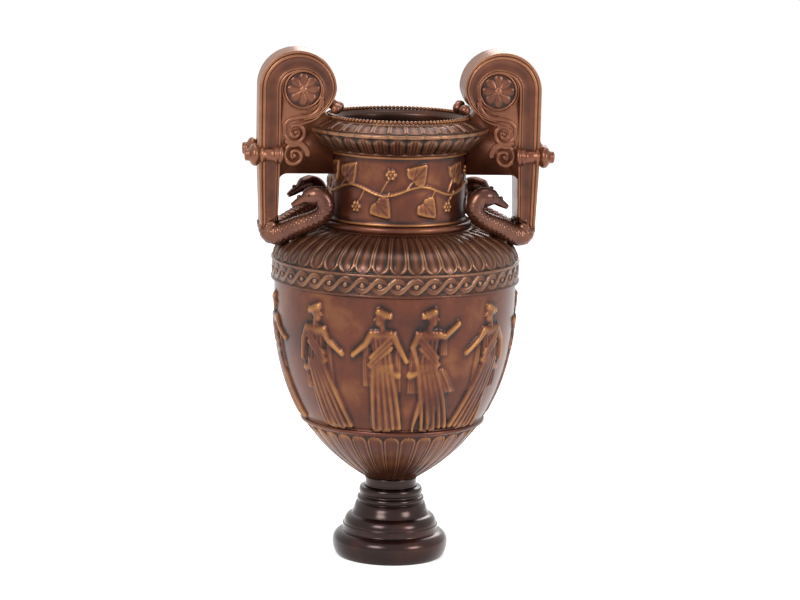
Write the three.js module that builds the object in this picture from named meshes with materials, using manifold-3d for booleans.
// A bronze volute krater: a two-handled vase on a turned foot, cast in sections.
// The sections stack on rebated seats, a tie rod holds foot and bowl together,
// and each handle stands on two swans and is screwed to the neck.
// Millimetres, +Z up, origin at the centre of the rest circle, front towards -Y.

import * as THREE from "three";
import { mergeVertices } from "three/addons/utils/BufferGeometryUtils.js";
import Module from "manifold-3d";

const wasm = await Module();
wasm.setup();

// Walls, fits and facet counts
const WALL = 4.5; // thickness of the cast walls
const CLEARANCE = 0.3; // gap left round every spigot, screw and seated piece
const LAP = 4; // height of the rebate between two sections
const SEAT_SEGMENTS = 30; // facets of a seat or a plain section
const SMALL_SEGMENTS = 8; // facets of knobs and balls
const ROUND_SEGMENTS = 14; // facets of a rosette
const SCREW_SEGMENTS = 6; // facets of a screw
const RIM_STEPS = 2; // facets of the rim's curve from neck to edge, and from edge to beads
const DOME_STEPS = 3; // facets of the shoulder's dome from band to neck ring

// Heights of the stacked sections, from the rest circle up
const FOOT_HEIGHT = 64;
const COLLAR_HEIGHT = 9.5;
const CALYX_HEIGHT = 53;
const BELLY_HEIGHT = 130.5;
const BAND_HEIGHT = 20;
const DOME_HEIGHT = 29;
const NECK_RING_HEIGHT = 6.5;
const NECK_HEIGHT = 63;
const RIM_HEIGHT = 32;

// Foot
const REST_INNER_RADIUS = 43;
const TORUS_RADIUS = 52.8;
const TORUS_HEIGHT = 23;
const FOOT_FILLET_RADIUS = 43.6;
const FOOT_FILLET_HEIGHT = 6;
const FLARE_HEIGHT = 9.5;
const CONE_RADIUS = 35.4;
const CONE_TOP_RADIUS = 31.4;
const CONE_HEIGHT = 11;
const LOWER_RING_RADIUS = 30.8;
const UPPER_RING_RADIUS = 28.8;
const FOOT_RING_HEIGHT = 5;
const FOOT_DECK = 9;
const COLLAR_RADIUS = 24.2;
const REGISTER_RADIUS = 14;
const REGISTER_HEIGHT = 2.5;

// Bowl: calyx and belly share one outline
const BOWL_RADIUS = 112;
const CALYX_START_RADIUS = 25.3;
const CALYX_START_ANGLE = THREE.MathUtils.degToRad(32);
const CALYX_START_PULL = 55;
const BELLY_PULL = 110;
const CALYX_FLOOR = 11;
const GADROONS = 32;
const GADROON_DEPTH = 1.7;
const GROUND_RIDGE_HEIGHT = 4.5;
const GROUND_RIDGE_PROUD = 1.7;

// Shoulder
const BAND_RADIUS = 112.8;
const BAND_SINK = 1;
const BAND_FILLET = 2;
const TONGUES = 44;
const TONGUE_DEPTH = 1.1;
const DOME_SIDE_PULL = 14;
const DOME_TOP_PULL = 24;

// Neck and rim
const NECK_RING_RADIUS = 68.5;
const NECK_RADIUS = 64;
const RIM_TONGUES = 32;
const RIM_TONGUE_DEPTH = 0.8;
const RIM_EDGE_RADIUS = 82;
const RIM_EDGE_RISE = 17.5; // from the neck's top to the outer edge
const RIM_EDGE_THICKNESS = 3.5;
const BEAD_RING_RADIUS = 63.5;
const BEAD_RING_HALF_WIDTH = 2;
const MOUTH_RADIUS = 58.5;

// Tie rod and its nuts
const ROD_RADIUS = 4;
const ROD_END = 6; // rod that shows past each nut
const NUT_ACROSS = 14;
const NUT_HEIGHT = 6.5;
const WASHER_RADIUS = 12;
const WASHER_HEIGHT = 2;

// Handles
const STRAP_DEPTH = 45.5;
const STRAP_OUTER = 126.5; // strap's outer face from the vase's axis
const STRAP_RELIEF = 1.6;
const VOLUTE_RADIUS = 34.5;
const VOLUTE_RISE = 54.5; // from the neck's top to the volute's centre
const WEB_DROP = 21; // from the neck's top down to the web's lower edge
const WEB_FILLET = 8;
const LEG_OUTER = 124;
const LEG_WIDTH = 15.5;
const LEG_SEAT_RISE = 10.5; // leg's slanted seat above the dome's top, at the inner side
const LEG_SEAT_SLANT = 13;
const OUTER_BAND = 5;
const INNER_BAND = 3.5;
const CHANNEL = 10.5;
const ROSETTE_INSET = 4.7; // rosette's centre, in from the volute's centre
const ROSETTE_RADIUS = 14.8;
const ROSETTE_THICKNESS = 3;
const ROSETTE_PETALS = 8;
const ROUNDEL_BORDER = 2;
const UPPER_SCROLL_RADIUS = 10;
const LOWER_SCROLL_RADIUS = 11.5;
const SCROLL_REACH = 94; // scrolls' centres from the vase's axis
const UPPER_SCROLL_RISE = 15.5; // above the neck's top
const LOWER_SCROLL_DROP = 5.5; // below the neck's top
const SCROLL_BAND = 2.6;
const SCROLL_TURNS = 1.6;

// Turned spindles across each leg
const SPINDLE_DROP = 4; // below the neck's top
const SPINDLE_OFFSET = 23.5; // from the handle's middle plane
const SPINDLE_START = 104.5;
const SPINDLE_LENGTH = 35;
const SPINDLE_BALL_RADIUS = 10.2;
const SPINDLE_FLANGE_RADIUS = 8.4;
const SPINDLE_SPOOL_RADIUS = 6.2;

// Swans between each leg and the shoulder
const SWAN_HEEL_RADIUS = 10;
const SWAN_NECK_RADIUS = 7.3;
const SWAN_SPREAD = 40; // furthest from the handle's middle plane
const SWAN_SIDES = 8;
const SWAN_STEPS = 13;

// Studs beside the mouth and the handles' screws
const STUD_RADIUS = 4.9;
const STUD_REACH = 58;
const STUD_OFFSET = 21;
const STUD_MIDDLE_INSET = 4;
const SCREW_RADIUS = 2;
const SCREW_HEAD_RADIUS = 4;
const SCREW_HEAD_HEIGHT = 2.4;
const SCREW_LENGTH = 16;
const SCREW_OFFSET = 12;
const SCREW_DROP = 10; // below the neck's top

// Levels that follow from the heights
const collarZ = FOOT_HEIGHT;
const calyxZ = collarZ + COLLAR_HEIGHT;
const bellyZ = calyxZ + CALYX_HEIGHT;
const bandZ = bellyZ + BELLY_HEIGHT;
const domeZ = bandZ + BAND_HEIGHT;
const neckRingZ = domeZ + DOME_HEIGHT;
const neckZ = neckRingZ + NECK_RING_HEIGHT;
const rimZ = neckZ + NECK_HEIGHT;
const mouthZ = rimZ + RIM_HEIGHT;

// Finishes
const finish = (color, roughness) => new THREE.MeshStandardMaterial({ color, roughness, metalness: 0.9 });
const darkBronze = finish(0x3a2018, 0.28);
const brownBronze = finish(0x7a3f22, 0.36);
const copperBronze = finish(0xa5693f, 0.38);
const plumBronze = finish(0x5a3128, 0.3);
const plainSteel = finish(0x8c8880, 0.45);

// Solids
function toSolid(geometry) {
  const bare = geometry.clone();
  bare.deleteAttribute("normal");
  bare.deleteAttribute("uv");
  const merged = mergeVertices(bare, 1e-4);
  const mesh = new wasm.Mesh({
    numProp: 3,
    vertProperties: merged.attributes.position.array,
    triVerts: new Uint32Array(merged.index.array),
  });
  return new wasm.Manifold(mesh);
}

function toGeometry(solid) {
  const mesh = solid.getMesh();
  const geometry = new THREE.BufferGeometry();
  geometry.setAttribute("position", new THREE.BufferAttribute(new Float32Array(mesh.vertProperties), 3));
  geometry.setIndex(new THREE.BufferAttribute(new Uint32Array(mesh.triVerts), 1));
  geometry.computeVertexNormals();
  return geometry;
}

// Turns a geometry's faces round after a mirroring matrix
function mirrored(geometry, x, y) {
  const copy = geometry.clone().scale(x, y, 1);
  if (x * y < 0) {
    const index = copy.index ? copy.index.array : null;
    if (index) {
      for (let i = 0; i < index.length; i += 3) {
        [index[i + 1], index[i + 2]] = [index[i + 2], index[i + 1]];
      }
      return copy;
    }
    const position = copy.attributes.position;
    for (let i = 0; i < position.count; i += 3) {
      const second = [position.getX(i + 1), position.getY(i + 1), position.getZ(i + 1)];
      position.setXYZ(i + 1, position.getX(i + 2), position.getY(i + 2), position.getZ(i + 2));
      position.setXYZ(i + 2, ...second);
    }
  }
  return copy;
}

// A profile of [radius, height] points, turned about Z; it closes on itself or on the axis
function turned(profile, segments = SEAT_SEGMENTS) {
  const onAxis = profile[0][0] === 0;
  const closed = onAxis ? profile : [...profile, profile[0]];
  const points = closed.map(([radius, height]) => new THREE.Vector2(radius, height));
  return new THREE.LatheGeometry(points, segments).rotateX(Math.PI / 2);
}

// A profile on the axis from one height to another, such as a bore or a rod
function turnedSolid(profile, segments) {
  const start = [0, profile[0][1]];
  const end = [0, profile[profile.length - 1][1]];
  return turned([start, ...profile, end], segments);
}

const rod = (radius, from, to, segments = SMALL_SEGMENTS) =>
  turnedSolid([[radius, from], [radius, to]], segments);

// Outward normals of an outline of [radius, height] points that runs upwards
function outlineNormals(profile) {
  return profile.map((_, i) => {
    const before = profile[Math.max(i - 1, 0)];
    const after = profile[Math.min(i + 1, profile.length - 1)];
    return new THREE.Vector2(after[1] - before[1], before[0] - after[0]).normalize();
  });
}

// The same outline moved out along its normals
function grown(profile, by) {
  const normals = outlineNormals(profile);
  return profile.map(([radius, height], i) => [radius + by * normals[i].x, height + by * normals[i].y]);
}

// An outline of [radius, height, depth] points on the axis, its surface cut into lobes:
// depth is how far the grooves between the lobes sink along the outline's normal
function lobed(profile, lobes, steps) {
  const count = lobes * steps;
  const positions = [];
  const indices = [];
  const normals = outlineNormals(profile);
  profile.forEach(([radius, height, depth], i) => {
    for (let j = 0; j < count; j += 1) {
      const angle = (2 * Math.PI * j) / count;
      const groove = 1 - Math.abs(Math.sin((lobes * angle) / 2));
      const sink = depth * groove * groove;
      const reach = radius - sink * normals[i].x;
      positions.push(reach * Math.cos(angle), reach * Math.sin(angle), height - sink * normals[i].y);
    }
  });
  const last = (profile.length - 1) * count;
  const bottom = positions.length / 3;
  positions.push(0, 0, profile[0][1]);
  positions.push(0, 0, profile[profile.length - 1][1]);
  for (let j = 0; j < count; j += 1) {
    const next = (j + 1) % count;
    for (let i = 0; i < profile.length - 1; i += 1) {
      const low = i * count;
      const high = low + count;
      indices.push(low + j, low + next, high + next, low + j, high + next, high + j);
    }
    indices.push(bottom, next, j, bottom + 1, last + j, last + next);
  }
  const geometry = new THREE.BufferGeometry();
  geometry.setAttribute("position", new THREE.Float32BufferAttribute(positions, 3));
  geometry.setIndex(indices);
  return geometry;
}

// Elliptical sections along a path, closed at both ends.
// Each station is { at, along, across, high }: a centre, a direction and two half widths
function lofted(stations, sides) {
  const sideways = new THREE.Vector3(0, 1, 0);
  const positions = [];
  const indices = [];
  stations.forEach(({ at, along, across, high }) => {
    const side = sideways.clone().addScaledVector(along, -sideways.dot(along)).normalize();
    const up = new THREE.Vector3().crossVectors(side, along);
    for (let j = 0; j < sides; j += 1) {
      const angle = (2 * Math.PI * j) / sides;
      const point = at.clone();
      point.addScaledVector(side, across * Math.cos(angle));
      point.addScaledVector(up, high * Math.sin(angle));
      positions.push(point.x, point.y, point.z);
    }
  });
  const last = (stations.length - 1) * sides;
  const start = positions.length / 3;
  positions.push(...stations[0].at.toArray(), ...stations[stations.length - 1].at.toArray());
  for (let j = 0; j < sides; j += 1) {
    const next = (j + 1) % sides;
    for (let i = 0; i < stations.length - 1; i += 1) {
      const low = i * sides;
      const high = low + sides;
      indices.push(low + j, high + next, low + next, low + j, high + j, high + next);
    }
    indices.push(start, j, next, start + 1, last + next, last + j);
  }
  const geometry = new THREE.BufferGeometry();
  geometry.setAttribute("position", new THREE.Float32BufferAttribute(positions, 3));
  geometry.setIndex(indices);
  return geometry;
}

// Points on a quarter of an ellipse, from one angle to another
function ellipsePoints(centre, radii, from, to, steps) {
  return Array.from({ length: steps + 1 }, (_, i) => {
    const angle = from + ((to - from) * i) / steps;
    return [centre[0] + radii[0] * Math.cos(angle), centre[1] + radii[1] * Math.sin(angle)];
  });
}

// The bowl's outline, from the calyx's seat to the belly's top
const bowlCurve = new THREE.CubicBezierCurve(
  new THREE.Vector2(CALYX_START_RADIUS, calyxZ),
  new THREE.Vector2(
    CALYX_START_RADIUS + CALYX_START_PULL * Math.cos(CALYX_START_ANGLE),
    calyxZ + CALYX_START_PULL * Math.sin(CALYX_START_ANGLE),
  ),
  new THREE.Vector2(BOWL_RADIUS, bandZ - BELLY_PULL),
  new THREE.Vector2(BOWL_RADIUS, bandZ),
);

// The outline's point at a height, moved in by a thickness along its normal
function bowlAt(height, thickness = 0) {
  let low = 0;
  let high = 1;
  for (let i = 0; i < 40; i += 1) {
    const middle = (low + high) / 2;
    if (bowlCurve.getPoint(middle).y < height) low = middle;
    else high = middle;
  }
  const point = bowlCurve.getPoint(low);
  const tangent = bowlCurve.getTangent(low);
  return [point.x - thickness * tangent.y, point.y + thickness * tangent.x];
}

function bowlPoints(from, to, steps, thickness = 0) {
  return Array.from({ length: steps + 1 }, (_, i) => bowlAt(from + ((to - from) * i) / steps, thickness));
}

// The dome of the shoulder, from the band up to the neck ring
const domeCurve = new THREE.CubicBezierCurve(
  new THREE.Vector2(BAND_RADIUS - BAND_FILLET / 2, domeZ),
  new THREE.Vector2(BAND_RADIUS - BAND_FILLET / 2, domeZ + DOME_SIDE_PULL),
  new THREE.Vector2(NECK_RING_RADIUS + DOME_TOP_PULL, neckRingZ - DOME_HEIGHT / 8),
  new THREE.Vector2(NECK_RING_RADIUS, neckRingZ),
);

function domePoints(steps, thickness = 0) {
  return Array.from({ length: steps + 1 }, (_, i) => {
    const point = domeCurve.getPoint(i / steps);
    const tangent = domeCurve.getTangent(i / steps);
    return [point.x - thickness * tangent.y, point.y + thickness * tangent.x];
  });
}

// Foot: rest, torus, fillet, flare, cone and two rings, hollow below its deck
function makeFoot() {
  const torusMiddle = TORUS_HEIGHT - 9.5;
  const torusReach = TORUS_RADIUS - FOOT_FILLET_RADIUS;
  const torusLow = TORUS_HEIGHT * 0.7;
  const restAngle = Math.asin(-torusMiddle / torusLow);
  const torusCentre = [FOOT_FILLET_RADIUS, torusMiddle];
  const filletTop = TORUS_HEIGHT + FOOT_FILLET_HEIGHT;
  const flareTop = filletTop + FLARE_HEIGHT;
  const coneTop = flareTop + CONE_HEIGHT;
  const ringHalf = FOOT_RING_HEIGHT / 2;
  const flareReach = FOOT_FILLET_RADIUS - CONE_RADIUS - 1;
  const profile = [
    ...ellipsePoints(torusCentre, [torusReach, torusLow], restAngle, 0, 3),
    ...ellipsePoints(torusCentre, [torusReach, TORUS_HEIGHT - torusMiddle], 0, Math.PI / 2, 3).slice(1),
    [FOOT_FILLET_RADIUS, filletTop],
    ...ellipsePoints([CONE_RADIUS, filletTop], [flareReach, FLARE_HEIGHT], 0, Math.PI / 2, 3),
    [CONE_TOP_RADIUS, coneTop],
    [CONE_TOP_RADIUS - 2, coneTop + 0.6],
    ...ellipsePoints([LOWER_RING_RADIUS - 2, coneTop + ringHalf + 1], [2, ringHalf], -Math.PI / 3, Math.PI / 2, 2),
    ...ellipsePoints([UPPER_RING_RADIUS - 2, FOOT_HEIGHT - ringHalf], [2, ringHalf], -Math.PI / 3, Math.PI / 2, 2),
  ];
  const deckZ = FOOT_HEIGHT - FOOT_DECK;
  const hollow = turnedSolid(
    [
      [REST_INNER_RADIUS, -1],
      [REST_INNER_RADIUS, 0],
      [TORUS_RADIUS - 1.4 * WALL, torusMiddle],
      [FOOT_FILLET_RADIUS - WALL, TORUS_HEIGHT],
      [CONE_RADIUS - WALL, flareTop - WALL],
      [CONE_TOP_RADIUS - WALL, coneTop - 1],
      [WASHER_RADIUS + WALL, deckZ],
    ],
    SEAT_SEGMENTS / 2,
  );
  const register = rod(REGISTER_RADIUS, FOOT_HEIGHT - 1, FOOT_HEIGHT + REGISTER_HEIGHT, SEAT_SEGMENTS / 2);
  const bore = rod(ROD_RADIUS + CLEARANCE, -1, FOOT_HEIGHT + REGISTER_HEIGHT + 1);
  return toGeometry(
    toSolid(turnedSolid(profile, SEAT_SEGMENTS)).add(toSolid(register)).subtract(toSolid(hollow)).subtract(toSolid(bore)),
  );
}

// Collar between foot and calyx, registered on both
function makeCollar() {
  const bore = ROD_RADIUS + CLEARANCE;
  const socket = REGISTER_RADIUS + CLEARANCE;
  const socketTop = collarZ + REGISTER_HEIGHT + CLEARANCE;
  const waist = COLLAR_RADIUS - 0.6;
  return turned([
    [socket, collarZ],
    [COLLAR_RADIUS, collarZ],
    [waist, collarZ + COLLAR_HEIGHT / 3],
    [waist, collarZ + (2 * COLLAR_HEIGHT) / 3],
    [COLLAR_RADIUS, calyxZ],
    [REGISTER_RADIUS, calyxZ],
    [REGISTER_RADIUS, calyxZ + REGISTER_HEIGHT],
    [bore, calyxZ + REGISTER_HEIGHT],
    [bore, socketTop],
    [socket, socketTop],
  ], SEAT_SEGMENTS / 2);
}

// Calyx: the gadrooned lower bowl, with a flat floor for the tie rod's washer
function makeCalyx() {
  const steps = 5;
  const outside = bowlPoints(calyxZ, bellyZ, steps).map(([radius, height], i) => {
    const fade = Math.sin((Math.PI * Math.min(i + 1, steps)) / (steps + 1));
    return [radius, height, i === steps ? 0 : GADROON_DEPTH * Math.max(fade, 0.35)];
  });
  const spigot = bellyZ + LAP - CLEARANCE;
  const seatRadius = bowlAt(bellyZ)[0] - WALL / 2 - CLEARANCE;
  const spigotInner = bowlAt(bellyZ, WALL)[0] - WALL / 4;
  const floorZ = calyxZ + CALYX_FLOOR;
  const floorRadius = bowlAt(floorZ, WALL)[0] - WALL;
  const body = toSolid(lobed(outside, GADROONS, 2));
  const spigotRing = rod(seatRadius, bellyZ - CLEARANCE, spigot, SEAT_SEGMENTS);
  const inside = bowlPoints(floorZ + WALL, bellyZ - WALL, 3, WALL);
  const hollow = turnedSolid(
    [[floorRadius, floorZ], ...inside, [spigotInner, bellyZ], [spigotInner, spigot + 1]],
    SEAT_SEGMENTS / 2,
  );
  const socket = rod(REGISTER_RADIUS + CLEARANCE, calyxZ - 1, calyxZ + REGISTER_HEIGHT + CLEARANCE, SEAT_SEGMENTS / 2);
  const bore = rod(ROD_RADIUS + CLEARANCE, calyxZ - 1, floorZ + 1);
  return toGeometry(
    body.add(toSolid(spigotRing)).subtract(toSolid(hollow)).subtract(toSolid(socket)).subtract(toSolid(bore)),
  );
}

// Belly: the frieze wall, with the ground ridge round its foot
function makeBelly() {
  const ridgeTop = bellyZ + GROUND_RIDGE_HEIGHT;
  const seatRadius = bowlAt(bellyZ)[0] - WALL / 2;
  const upperSeat = BOWL_RADIUS - WALL / 2 - CLEARANCE;
  const outer = [
    ...ellipsePoints(
      [bowlAt(bellyZ + GROUND_RIDGE_HEIGHT / 2)[0], bellyZ + GROUND_RIDGE_HEIGHT / 2],
      [GROUND_RIDGE_PROUD, GROUND_RIDGE_HEIGHT / 2],
      -Math.PI / 2,
      Math.PI / 4,
      2,
    ),
    ...bowlPoints(ridgeTop, bandZ, 6),
  ];
  const inner = bowlPoints(bellyZ + LAP + WALL, bandZ, 2, WALL).reverse();
  return turned([
    [seatRadius, bellyZ],
    ...outer,
    [upperSeat, bandZ],
    [upperSeat, bandZ + LAP - CLEARANCE],
    [BOWL_RADIUS - WALL, bandZ + LAP - CLEARANCE],
    ...inner,
    [bowlAt(bellyZ + LAP, WALL)[0] - WALL / 4, bellyZ + LAP],
    [seatRadius, bellyZ + LAP],
  ]);
}

// Shoulder: the guilloche band between two fillets, and the dome of tongues above it
function makeShoulder() {
  const sunk = BAND_RADIUS - BAND_SINK;
  const band = turnedSolid(
    [
      [BAND_RADIUS, bandZ],
      [BAND_RADIUS, bandZ + BAND_FILLET],
      [sunk, bandZ + BAND_FILLET],
      [sunk, domeZ - BAND_FILLET],
      [BAND_RADIUS, domeZ - BAND_FILLET],
      [BAND_RADIUS, domeZ],
    ],
    TONGUES,
  );
  const steps = DOME_STEPS;
  const dome = domePoints(steps).map(([radius, height], i) => [
    radius,
    height,
    i === 0 || i === steps ? 0 : TONGUE_DEPTH,
  ]);
  const seatBore = NECK_RADIUS - WALL / 2 + CLEARANCE;
  const lowerSeat = BOWL_RADIUS - WALL / 2;
  const innerDome = domePoints(3, WALL).filter(([radius]) => radius > seatBore);
  const hollow = turnedSolid([
    [lowerSeat, bandZ - 1],
    [lowerSeat, bandZ + LAP],
    [BAND_RADIUS - BAND_SINK - WALL, bandZ + LAP],
    [BAND_RADIUS - BAND_SINK - WALL, domeZ - 1],
    ...innerDome.slice(1),
    [seatBore, innerDome[innerDome.length - 1][1]],
    [seatBore, neckRingZ + 1],
  ]);
  return toSolid(lobed(dome, TONGUES, 2)).add(toSolid(band)).subtract(toSolid(hollow));
}

// Ring under the neck, with a spigot down into the shoulder
function makeNeckRing() {
  const bore = NECK_RADIUS - WALL;
  const spigot = NECK_RADIUS - WALL / 2;
  const socket = spigot + CLEARANCE;
  return turned([
    [spigot, neckRingZ],
    ...ellipsePoints(
      [NECK_RING_RADIUS - 2, neckRingZ + NECK_RING_HEIGHT / 2],
      [2, NECK_RING_HEIGHT / 2],
      -Math.PI / 2,
      Math.PI / 2,
      3,
    ),
    [socket, neckZ],
    [socket, neckZ - LAP / 2],
    [bore, neckZ - LAP / 2],
    [bore, neckRingZ - LAP],
    [spigot, neckRingZ - LAP],
  ]);
}

// Neck: the ivy band's wall, with a spigot at each end
function makeNeck() {
  const bore = NECK_RADIUS - WALL;
  const spigot = NECK_RADIUS - WALL / 2;
  return turned([
    [spigot, neckZ - LAP / 2 + CLEARANCE],
    [spigot, neckZ],
    [NECK_RADIUS, neckZ],
    [NECK_RADIUS, rimZ],
    [spigot - CLEARANCE, rimZ],
    [spigot - CLEARANCE, rimZ + LAP - CLEARANCE],
    [bore, rimZ + LAP - CLEARANCE],
    [bore, neckZ - LAP / 2 + CLEARANCE],
  ]);
}

// The rim's outline from the neck's top, round its edge and up to the bead ring
function rimOutline(steps) {
  const edgeZ = rimZ + RIM_EDGE_RISE;
  const flare = new THREE.QuadraticBezierCurve(
    new THREE.Vector2(NECK_RADIUS + 2, rimZ + 2),
    new THREE.Vector2(RIM_EDGE_RADIUS - 9, rimZ + 4),
    new THREE.Vector2(RIM_EDGE_RADIUS - 0.5, edgeZ),
  );
  const beadFoot = mouthZ - 2 * BEAD_RING_HALF_WIDTH;
  const top = new THREE.QuadraticBezierCurve(
    new THREE.Vector2(RIM_EDGE_RADIUS - 1, edgeZ + RIM_EDGE_THICKNESS),
    new THREE.Vector2(BEAD_RING_RADIUS + 9, beadFoot),
    new THREE.Vector2(BEAD_RING_RADIUS + BEAD_RING_HALF_WIDTH, beadFoot),
  );
  return [
    [NECK_RADIUS + 1.6, rimZ, 0],
    ...flare.getPoints(steps).map((p, i) => [p.x, p.y, i === 0 ? 0 : RIM_TONGUE_DEPTH]),
    [RIM_EDGE_RADIUS, edgeZ + RIM_EDGE_THICKNESS / 2, RIM_TONGUE_DEPTH],
    ...top.getPoints(steps).map((p, i) => [p.x, p.y, i === steps ? 0 : RIM_TONGUE_DEPTH]),
  ];
}

// Rim: leaves below, tongues above, bead ring at the mouth
function makeRim() {
  const beads = ellipsePoints(
    [BEAD_RING_RADIUS, mouthZ - BEAD_RING_HALF_WIDTH],
    [BEAD_RING_HALF_WIDTH, BEAD_RING_HALF_WIDTH],
    0,
    Math.PI / 2,
    2,
  ).map(([radius, height]) => [radius, height, 0]);
  const rebate = NECK_RADIUS - WALL / 2;
  const hollow = turnedSolid([
    [rebate, rimZ - 1],
    [rebate, rimZ + LAP],
    [NECK_RADIUS - WALL, rimZ + LAP],
    [NECK_RADIUS - WALL, rimZ + RIM_EDGE_RISE - WALL],
    [MOUTH_RADIUS, rimZ + RIM_EDGE_RISE],
    [MOUTH_RADIUS, mouthZ - WALL],
    [BEAD_RING_RADIUS - BEAD_RING_HALF_WIDTH, mouthZ - 1],
    [BEAD_RING_RADIUS - BEAD_RING_HALF_WIDTH, mouthZ + 1],
  ]);
  return toGeometry(toSolid(lobed([...rimOutline(RIM_STEPS), ...beads], RIM_TONGUES, 2)).subtract(toSolid(hollow)));
}

// Everything that a handle is fitted to, filled to the axis and grown by a clearance
function vaseEnvelope() {
  const outline = [
    [BAND_RADIUS, bandZ],
    ...domePoints(DOME_STEPS),
    [NECK_RING_RADIUS, neckZ],
    [NECK_RADIUS, neckZ + 1],
    ...rimOutline(RIM_STEPS),
    [BEAD_RING_RADIUS + BEAD_RING_HALF_WIDTH, mouthZ],
  ];
  return toSolid(turnedSolid(grown(outline, 1.5 * CLEARANCE), 2 * RIM_TONGUES));
}

// Handle plane: x runs out from the vase's axis, y is the depth, z is up
function slab(shape, depth) {
  const geometry = new THREE.ExtrudeGeometry(shape, { depth, bevelEnabled: false, curveSegments: 6 });
  return toSolid(geometry.rotateX(Math.PI / 2).translate(0, depth / 2, 0));
}

const voluteX = STRAP_OUTER - VOLUTE_RADIUS;
const voluteZ = rimZ + VOLUTE_RISE;
const webZ = rimZ - WEB_DROP;
const spindleZ = rimZ - SPINDLE_DROP;
const rosetteX = voluteX - ROSETTE_INSET;
const legInner = LEG_OUTER - LEG_WIDTH;
const seatInnerZ = neckRingZ + LEG_SEAT_RISE;
const seatOuterZ = seatInnerZ - LEG_SEAT_SLANT;

// The handle's outline: leg, strap, volute and the web that runs in to the neck
function handleShape() {
  const shape = new THREE.Shape();
  shape.moveTo(legInner, seatInnerZ);
  shape.lineTo(LEG_OUTER, seatOuterZ);
  shape.lineTo(STRAP_OUTER, spindleZ);
  shape.lineTo(STRAP_OUTER, voluteZ);
  shape.absarc(voluteX, voluteZ, VOLUTE_RADIUS, 0, Math.PI, false);
  shape.lineTo(voluteX - VOLUTE_RADIUS, webZ);
  shape.lineTo(legInner - WEB_FILLET, webZ);
  shape.absarc(legInner - WEB_FILLET, webZ - WEB_FILLET, WEB_FILLET, Math.PI / 2, 0, true);
  return shape;
}

// A raised band that follows the strap and the volute between two distances from their edge
function strapBand(near, far) {
  const shape = new THREE.Shape();
  shape.moveTo(STRAP_OUTER - near, spindleZ);
  shape.lineTo(STRAP_OUTER - near, voluteZ);
  shape.absarc(voluteX, voluteZ, VOLUTE_RADIUS - near, 0, Math.PI, false);
  shape.absarc(voluteX, voluteZ, VOLUTE_RADIUS - far, Math.PI, 0, true);
  shape.lineTo(STRAP_OUTER - far, spindleZ);
  return shape;
}

function roundel(x, z, outer, inner) {
  const shape = new THREE.Shape();
  shape.absarc(x, z, outer, 0, 2 * Math.PI, false);
  const hole = new THREE.Path();
  hole.absarc(x, z, inner, 0, 2 * Math.PI, true);
  shape.holes.push(hole);
  return shape;
}

// A flat scroll that winds in from its outer radius
function scroll(x, z, radius, startAngle, turn) {
  const steps = 10;
  const edge = (offset) =>
    Array.from({ length: steps + 1 }, (_, i) => {
      const share = i / steps;
      const angle = startAngle + turn * share * SCROLL_TURNS * 2 * Math.PI;
      const reach = (radius - offset) * (1 - 0.86 * share);
      return new THREE.Vector2(x + reach * Math.cos(angle), z + reach * Math.sin(angle));
    });
  return new THREE.Shape([...edge(0), ...edge(SCROLL_BAND).reverse()]);
}

// One turned spindle along x, grown by a clearance where it cuts its own seat
function spindle(grow = 0) {
  const ballMiddle = SPINDLE_LENGTH * 0.73;
  const ball = ellipsePoints(
    [0, ballMiddle],
    [SPINDLE_BALL_RADIUS + grow, SPINDLE_LENGTH * 0.18],
    -Math.PI / 3,
    Math.PI / 3,
    3,
  );
  const profile = [
    [SPINDLE_FLANGE_RADIUS + grow, -grow],
    [SPINDLE_FLANGE_RADIUS + grow, SPINDLE_LENGTH * 0.12 + grow],
    [SPINDLE_FLANGE_RADIUS - 1 + grow, SPINDLE_LENGTH * 0.2 + grow],
    [SPINDLE_SPOOL_RADIUS + grow, SPINDLE_LENGTH * 0.26 + grow],
    [SPINDLE_SPOOL_RADIUS + grow, SPINDLE_LENGTH * 0.5],
    ...ball,
    [SPINDLE_SPOOL_RADIUS - 1 + grow, SPINDLE_LENGTH * 0.92],
    [SPINDLE_SPOOL_RADIUS / 2 + grow, SPINDLE_LENGTH + grow],
  ];
  const geometry = turnedSolid(profile, SMALL_SEGMENTS);
  return geometry.rotateY(Math.PI / 2).translate(SPINDLE_START, SPINDLE_OFFSET, spindleZ);
}

// Stud at the volute's foot, beside the mouth
const studZ = mouthZ + STUD_RADIUS + CLEARANCE;
function stud(offset, inset, grow = 0) {
  const geometry = new THREE.SphereGeometry(STUD_RADIUS + grow, SMALL_SEGMENTS, SMALL_SEGMENTS / 2);
  return geometry.translate(STUD_REACH - inset, offset, studZ);
}

// A cheese-headed screw, head first along its axis
function screw(grow = 0) {
  return turnedSolid(
    [
      [SCREW_HEAD_RADIUS + grow, 0],
      [SCREW_HEAD_RADIUS + grow, SCREW_HEAD_HEIGHT],
      [SCREW_RADIUS + grow, SCREW_HEAD_HEIGHT],
      [SCREW_RADIUS + grow, SCREW_HEAD_HEIGHT + SCREW_LENGTH + grow],
    ],
    SCREW_SEGMENTS,
  );
}

// Screw from the neck's bore into the web
const neckScrewSeat = NECK_RADIUS - WALL;
const neckScrewZ = rimZ - SCREW_DROP;
function neckScrew(grow = 0) {
  return screw(grow)
    .rotateY(Math.PI / 2)
    .translate(neckScrewSeat - SCREW_HEAD_HEIGHT, SCREW_OFFSET, neckScrewZ);
}

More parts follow.
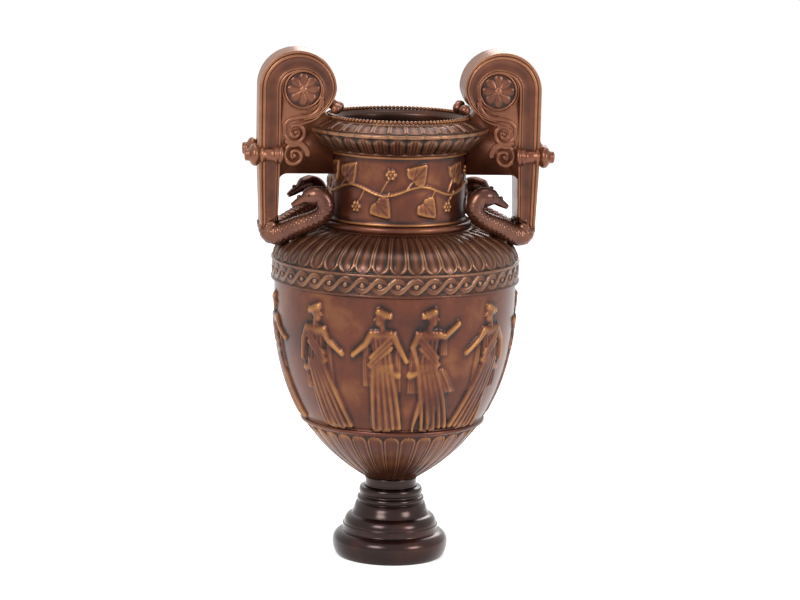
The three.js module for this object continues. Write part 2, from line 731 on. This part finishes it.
// The swan's neck and head as stations from the leg's seat to the tip of the beak
function swanStations() {
  const seat = new THREE.Vector3((legInner + LEG_OUTER) / 2, STRAP_DEPTH / 4, (seatInnerZ + seatOuterZ) / 2);
  const low = neckRingZ;
  const spread = SWAN_SPREAD;
  const route = new THREE.CatmullRomCurve3([
    seat,
    new THREE.Vector3(legInner + 5, seat.y + 1.5, low - 5.5),
    new THREE.Vector3(legInner - 5, spread * 0.45, low - 4),
    new THREE.Vector3(legInner - 18, spread * 0.66, low + 1.5),
    new THREE.Vector3(NECK_RADIUS + 14, spread * 0.85, low + 7),
    new THREE.Vector3(NECK_RADIUS + 5, spread * 0.96, low + 13.5),
    new THREE.Vector3(NECK_RADIUS + 2, spread, low + 22),
    new THREE.Vector3(NECK_RADIUS + 7, spread * 0.98, low + 30),
    new THREE.Vector3(NECK_RADIUS + 17, spread * 0.93, low + 30),
    new THREE.Vector3(NECK_RADIUS + 26, spread * 0.86, low + 25.5),
    new THREE.Vector3(NECK_RADIUS + 41, spread * 0.76, low + 19),
  ]);
  const neck = SWAN_NECK_RADIUS;
  const girth = [
    [0, SWAN_HEEL_RADIUS, SWAN_HEEL_RADIUS],
    [0.1, SWAN_HEEL_RADIUS, SWAN_HEEL_RADIUS],
    [0.3, neck * 1.12, neck * 1.12],
    [0.5, neck, neck],
    [0.66, neck, neck],
    [0.78, neck * 0.95, neck * 1.02],
    [0.85, neck * 0.85, neck * 0.86],
    [0.9, neck * 0.5, neck * 0.42],
    [0.96, neck * 0.48, neck * 0.3],
    [1, neck * 0.3, neck * 0.16],
  ];
  return Array.from({ length: SWAN_STEPS + 1 }, (_, i) => {
    const share = i / SWAN_STEPS;
    const after = Math.max(girth.findIndex(([at]) => at >= share), 1);
    const [from, across0, high0] = girth[after - 1];
    const [to, across1, high1] = girth[after];
    const mix = (share - from) / (to - from);
    return {
      at: route.getPointAt(share),
      along: i === 0 ? leftAlong() : route.getTangentAt(share),
      across: THREE.MathUtils.lerp(across0, across1, mix),
      high: THREE.MathUtils.lerp(high0, high1, mix),
    };
  });
}

// Direction in which the swan leaves the leg's slanted seat
function leftAlong() {
  return new THREE.Vector3(-LEG_SEAT_SLANT, 0, -LEG_WIDTH).normalize();
}

const swanScrewX = legInner - 12;
const swanScrewY = SWAN_SPREAD * 0.58;
const swanScrewZ = neckRingZ - 4.5 * WALL;
function swanScrew(grow = 0) {
  return screw(grow).translate(swanScrewX, swanScrewY, swanScrewZ);
}

// Pocket that lets a rosette into the handle's face
const pocketDepth = ROSETTE_THICKNESS / 2;
const faceDepth = STRAP_DEPTH / 2 - STRAP_RELIEF;
function rosettePocket() {
  const geometry = new THREE.CylinderGeometry(
    ROSETTE_RADIUS + CLEARANCE,
    ROSETTE_RADIUS + CLEARANCE,
    STRAP_DEPTH,
    ROUND_SEGMENTS,
  );
  return geometry.translate(rosetteX, faceDepth - pocketDepth + STRAP_DEPTH / 2, voluteZ);
}

// Rosette: a disc with eight petals round a boss
function makeRosette() {
  const disc = new THREE.CylinderGeometry(ROSETTE_RADIUS, ROSETTE_RADIUS, ROSETTE_THICKNESS / 2, ROUND_SEGMENTS);
  const petals = new THREE.Shape(
    Array.from({ length: ROSETTE_PETALS * 2 }, (_, i) => {
      const reach = ROSETTE_RADIUS * [0.55, 0.88][i % 2];
      const angle = (2 * Math.PI * i) / (ROSETTE_PETALS * 2);
      return new THREE.Vector2(reach * Math.cos(angle), reach * Math.sin(angle));
    }),
  );
  const relief = new THREE.ExtrudeGeometry(petals, { depth: ROSETTE_THICKNESS * 0.75, bevelEnabled: false });
  relief.rotateX(-Math.PI / 2);
  const boss = new THREE.SphereGeometry(ROSETTE_RADIUS * 0.24, SCREW_SEGMENTS, SCREW_SEGMENTS / 2);
  boss.translate(0, ROSETTE_THICKNESS * 0.75, 0);
  const solid = toSolid(disc.translate(0, ROSETTE_THICKNESS / 4, 0)).add(toSolid(relief)).add(toSolid(boss));
  const flatBack = toSolid(new THREE.BoxGeometry(60, 20, 60).translate(0, -10, 0));
  return toGeometry(solid.subtract(flatBack)).translate(rosetteX, faceDepth - pocketDepth, voluteZ);
}

// Handle: strap, volute, web and scrolls in one casting, cut to fit the neck and the rim
function makeHandle(envelope) {
  const faceRelief = [
    strapBand(0, OUTER_BAND),
    strapBand(OUTER_BAND + CHANNEL, OUTER_BAND + CHANNEL + INNER_BAND),
    roundel(rosetteX, voluteZ, ROSETTE_RADIUS + ROUNDEL_BORDER, ROSETTE_RADIUS),
    scroll(SCROLL_REACH, rimZ + UPPER_SCROLL_RISE, UPPER_SCROLL_RADIUS, Math.PI / 2, -1),
    scroll(SCROLL_REACH, rimZ - LOWER_SCROLL_DROP, LOWER_SCROLL_RADIUS, Math.PI / 2, -1),
  ];
  let solid = slab(handleShape(), STRAP_DEPTH - 2 * STRAP_RELIEF);
  faceRelief.forEach((shape) => {
    solid = solid.add(slab(shape, STRAP_DEPTH));
  });
  solid = solid.subtract(envelope);
  const cutters = [
    spindle(CLEARANCE),
    rosettePocket(),
    neckScrew(CLEARANCE),
    stud(STUD_OFFSET, 0, CLEARANCE),
  ];
  cutters.forEach((cutter) => {
    solid = solid.subtract(toSolid(cutter)).subtract(toSolid(mirrored(cutter, 1, -1)));
  });
  return toGeometry(solid.subtract(toSolid(stud(0, STUD_MIDDLE_INSET, CLEARANCE))));
}

function makeSwan(envelope) {
  const solid = toSolid(lofted(swanStations(), SWAN_SIDES)).subtract(envelope);
  const middle = new THREE.BoxGeometry(80, 20, 80).translate(legInner, -10, neckRingZ);
  return toGeometry(solid.subtract(toSolid(swanScrew(CLEARANCE))).subtract(toSolid(middle)));
}

function makeNut(from) {
  const nut = new THREE.CylinderGeometry(NUT_ACROSS / Math.sqrt(3), NUT_ACROSS / Math.sqrt(3), NUT_HEIGHT, 6);
  nut.rotateX(Math.PI / 2).translate(0, 0, from + NUT_HEIGHT / 2);
  const bore = rod(ROD_RADIUS + CLEARANCE, from - 1, from + NUT_HEIGHT + 1);
  return toGeometry(toSolid(nut).subtract(toSolid(bore)));
}

function makeWasher(from) {
  const bore = ROD_RADIUS + CLEARANCE;
  return turned(
    [[bore, from], [WASHER_RADIUS, from], [WASHER_RADIUS, from + WASHER_HEIGHT], [bore, from + WASHER_HEIGHT]],
    SMALL_SEGMENTS,
  );
}

// Assembly
const krater = new THREE.Group();
function place(name, geometry, material, parent = krater) {
  const mesh = new THREE.Mesh(geometry, material);
  mesh.name = name;
  parent.add(mesh);
  return mesh;
}

const deckZ = FOOT_HEIGHT - FOOT_DECK;
const floorZ = calyxZ + CALYX_FLOOR;
const envelope = vaseEnvelope();
const sides = [["left", -1], ["right", 1]];
const faces = [["front", -1], ["rear", 1]];

// Holes for the handles' screws in the neck and the shoulder
let neckSolid = toSolid(makeNeck());
let shoulderSolid = makeShoulder();
sides.forEach(([, x]) =>
  faces.forEach(([, y]) => {
    neckSolid = neckSolid.subtract(toSolid(mirrored(neckScrew(CLEARANCE), x, y)));
    shoulderSolid = shoulderSolid.subtract(toSolid(mirrored(swanScrew(CLEARANCE), x, y)));
  }),
);

place("foot", makeFoot(), darkBronze);
place("foot_collar", makeCollar(), darkBronze);
place("calyx", makeCalyx(), brownBronze);
place("belly", makeBelly(), brownBronze);
place("shoulder", toGeometry(shoulderSolid), brownBronze);
place("neck_ring", makeNeckRing(), brownBronze);
place("neck", toGeometry(neckSolid), brownBronze);
place("rim", makeRim(), brownBronze);
const rodBottom = deckZ - WASHER_HEIGHT - NUT_HEIGHT - ROD_END;
const rodTop = floorZ + WASHER_HEIGHT + NUT_HEIGHT + ROD_END;
place("tie_rod", rod(ROD_RADIUS, rodBottom, rodTop), plainSteel);
place("foot_washer", makeWasher(deckZ - WASHER_HEIGHT), plainSteel);
place("foot_nut", makeNut(deckZ - WASHER_HEIGHT - NUT_HEIGHT), plainSteel);
place("bowl_washer", makeWasher(floorZ), plainSteel);
place("bowl_nut", makeNut(floorZ + WASHER_HEIGHT), plainSteel);

const handleGeometry = makeHandle(envelope);
const swanGeometry = makeSwan(envelope);
const rosetteGeometry = makeRosette();
sides.forEach(([side, x]) => {
  const handleGroup = new THREE.Group();
  handleGroup.scale.x = x;
  krater.add(handleGroup);
  place(`${side}_handle`, handleGeometry, copperBronze, handleGroup);
  place(`${side}_middle_stud`, stud(0, STUD_MIDDLE_INSET), copperBronze, handleGroup);
  faces.forEach(([face, y]) => {
    const faceGroup = new THREE.Group();
    faceGroup.scale.y = y;
    handleGroup.add(faceGroup);
    place(`${side}_${face}_rosette`, rosetteGeometry, copperBronze, faceGroup);
    place(`${side}_${face}_spindle`, spindle(), copperBronze, faceGroup);
    place(`${side}_${face}_swan`, swanGeometry, plumBronze, faceGroup);
    place(`${side}_${face}_stud`, stud(STUD_OFFSET, 0), copperBronze, faceGroup);
    place(`${side}_${face}_neck_screw`, neckScrew(), plainSteel, faceGroup);
    place(`${side}_${face}_swan_screw`, swanScrew(), plainSteel, faceGroup);
  });
});

export default krater;
